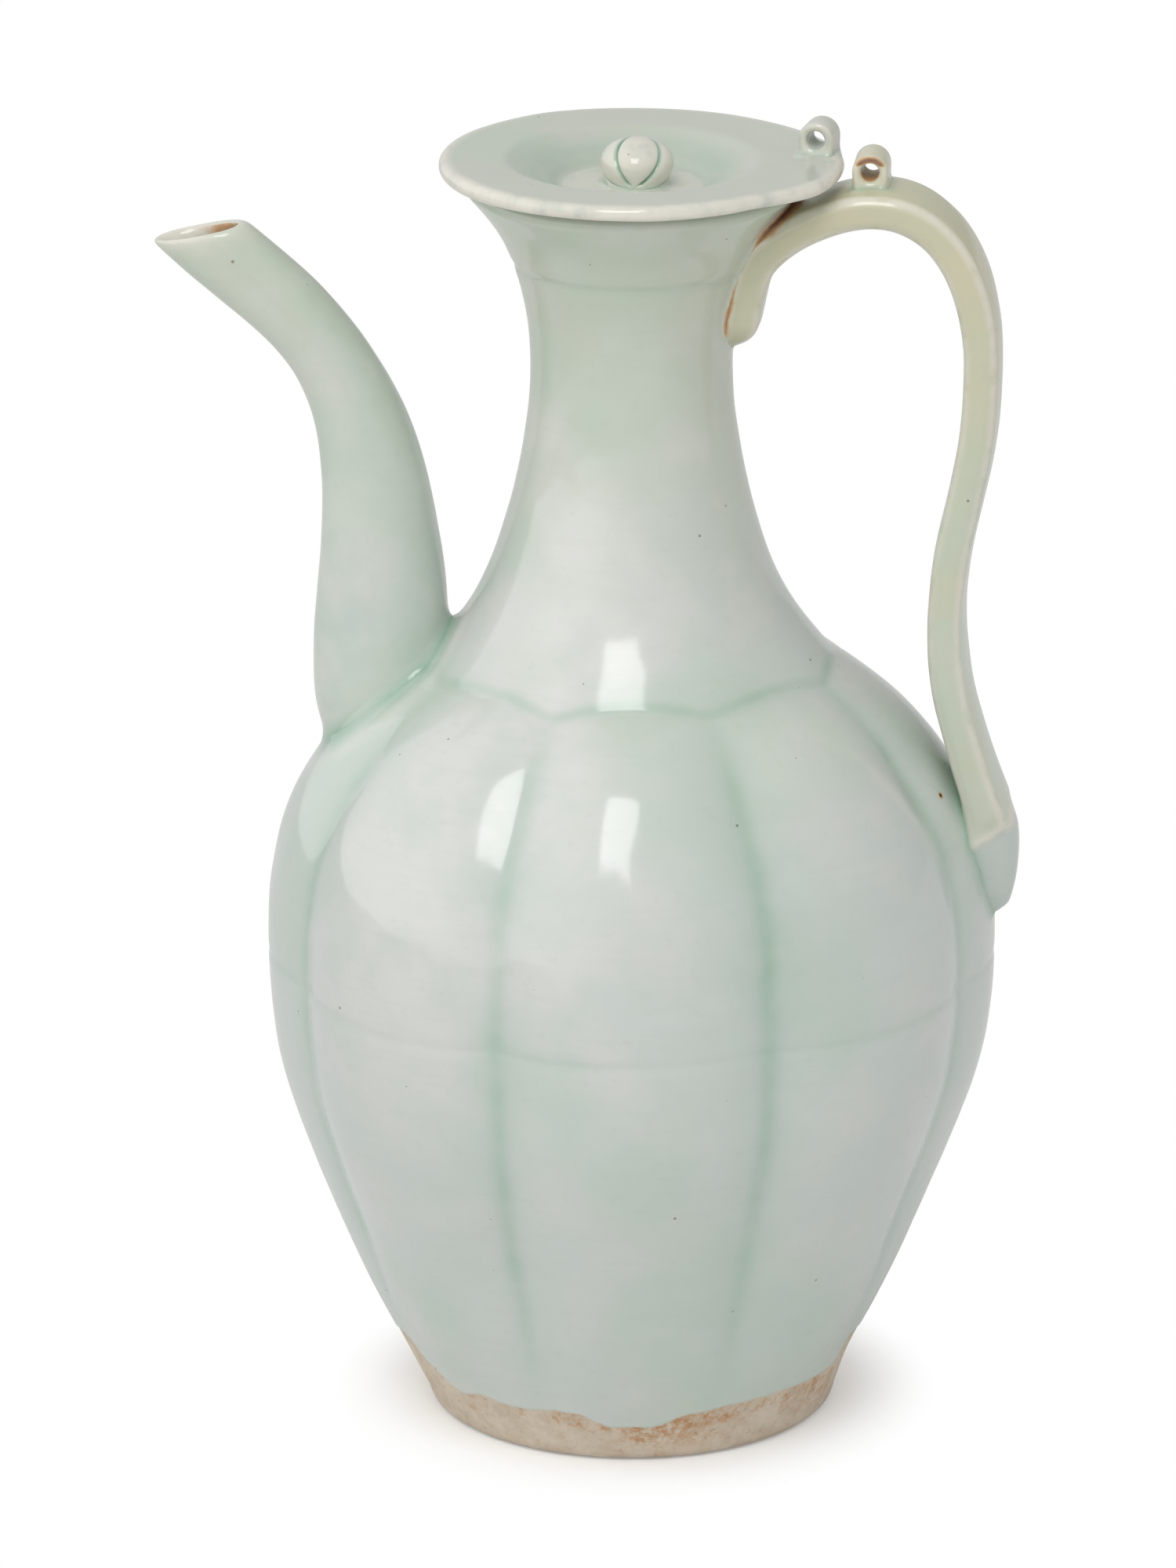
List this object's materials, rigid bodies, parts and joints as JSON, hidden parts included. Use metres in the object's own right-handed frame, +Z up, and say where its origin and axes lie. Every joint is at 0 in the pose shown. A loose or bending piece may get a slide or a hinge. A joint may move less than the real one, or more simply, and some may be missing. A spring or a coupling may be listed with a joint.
{
  "type": "lidded ewer",
  "caption": "Lobed porcelain pouring ewer with a trumpet neck, a long curved spout, a strap handle and a saucer-shaped lid that lifts off.",
  "frame": {"origin": "centre of the foot's flat underside", "axes": "+Z up through the lid, +X towards the handle, -X towards the spout"},
  "size_m": [0.1577, 0.1324, 0.2424],
  "materials": {
    "body_glaze": "gloss glaze, pale blue-green, pooling greener in the grooves",
    "handle_glaze": "gloss glaze, pale yellowish green",
    "lid_glaze": "gloss glaze, pale grey-green, thin and creamy on the edges"
  },
  "bodies": {
    "ewer": {"body_lower": "body_glaze", "body_upper": "body_glaze", "neck": "body_glaze", "spout": "body_glaze", "handle": "handle_glaze", "handle_loop": "handle_glaze"},
    "lid": {"lid": "lid_glaze", "lid_knob": "lid_glaze", "lid_loop": "lid_glaze"}
  },
  "joints": [
    {"name": "lid_lift", "type": "slide", "parent": "ewer", "child": "lid", "axis": [0, 0, 1], "range_m": [0, 0.06]}
  ]
}
